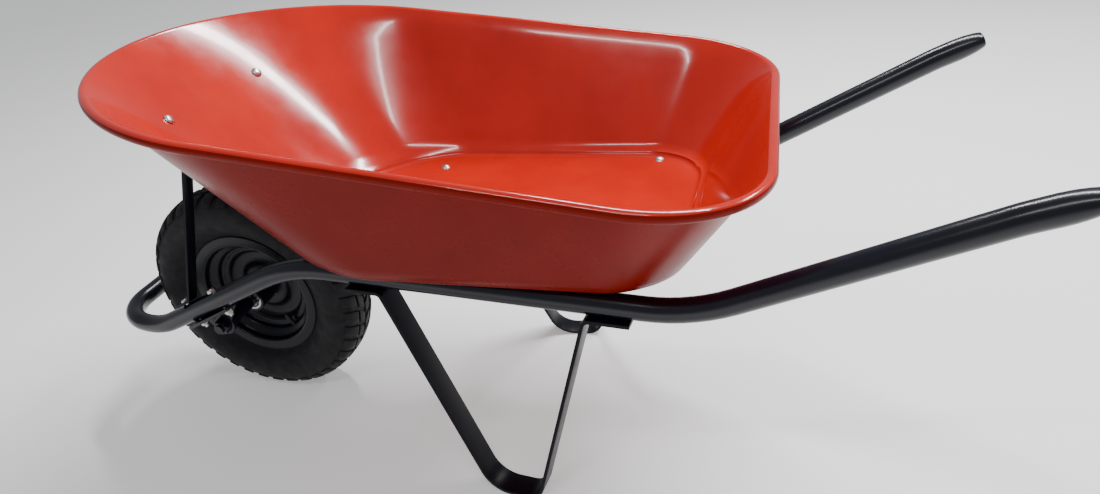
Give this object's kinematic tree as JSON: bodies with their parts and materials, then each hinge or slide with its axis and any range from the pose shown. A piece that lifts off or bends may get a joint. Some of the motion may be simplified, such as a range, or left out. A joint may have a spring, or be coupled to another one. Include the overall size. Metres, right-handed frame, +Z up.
{
  "type": "wheelbarrow",
  "caption": "Single-wheel wheelbarrow: a deep flared steel tray with a rolled edge on a bent tube frame with strap legs and a pneumatic wheel.",
  "frame": {"origin": "middle of the footprint on the ground, midway between the front of the nose loop and the handle ends", "axes": "+X back along the barrow towards the handle ends, +Y to the operator's right, +Z up"},
  "size_m": [1.411, 0.6442, 0.6421],
  "materials": {
    "tray_enamel": "gloss orange-red enamel on pressed steel",
    "frame_enamel": "gloss black enamel on steel",
    "rim_enamel": "gloss black enamel on steel",
    "tyre_rubber": "matte black rubber",
    "tube_rubber": "matte black butyl",
    "cap_plastic": "matte black plastic",
    "bearing_steel": "ground steel",
    "zinc": "bright zinc plate"
  },
  "bodies": {
    "chassis": {"tray": "tray_enamel", "tray_rolled_edge": "tray_enamel", "frame_tube": "frame_enamel", "leg_left": "frame_enamel", "brace_left": "frame_enamel", "axle_bracket_left": "frame_enamel", "leg_right": "frame_enamel", "brace_right": "frame_enamel", "axle_bracket_right": "frame_enamel", "bearing_inner_races": "bearing_steel", "axle": "frame_enamel", "axle_spacers": "frame_enamel", "axle_washers": "frame_enamel", "axle_nuts": "frame_enamel", "tray_bolts": "zinc", "tray_washers": "zinc", "tray_nuts": "zinc", "brace_top_bolts": "zinc", "brace_top_washers": "zinc", "brace_top_nuts": "zinc", "bracket_bolts": "zinc", "bracket_washers": "zinc", "bracket_nuts": "zinc"},
    "wheel": {"tyre": "tyre_rubber", "inner_tube": "tube_rubber", "rim": "rim_enamel", "rim_disc": "rim_enamel", "hub": "rim_enamel", "bearing_outer_races": "bearing_steel", "bearing_balls": "bearing_steel", "valve_stem": "tube_rubber", "valve_cap": "cap_plastic"}
  },
  "joints": [
    {"name": "wheel_spin", "type": "hinge", "parent": "chassis", "child": "wheel", "pos_m": [-0.4447, 0, 0.2], "axis": [0, 1, 0], "continuous": true}
  ]
}
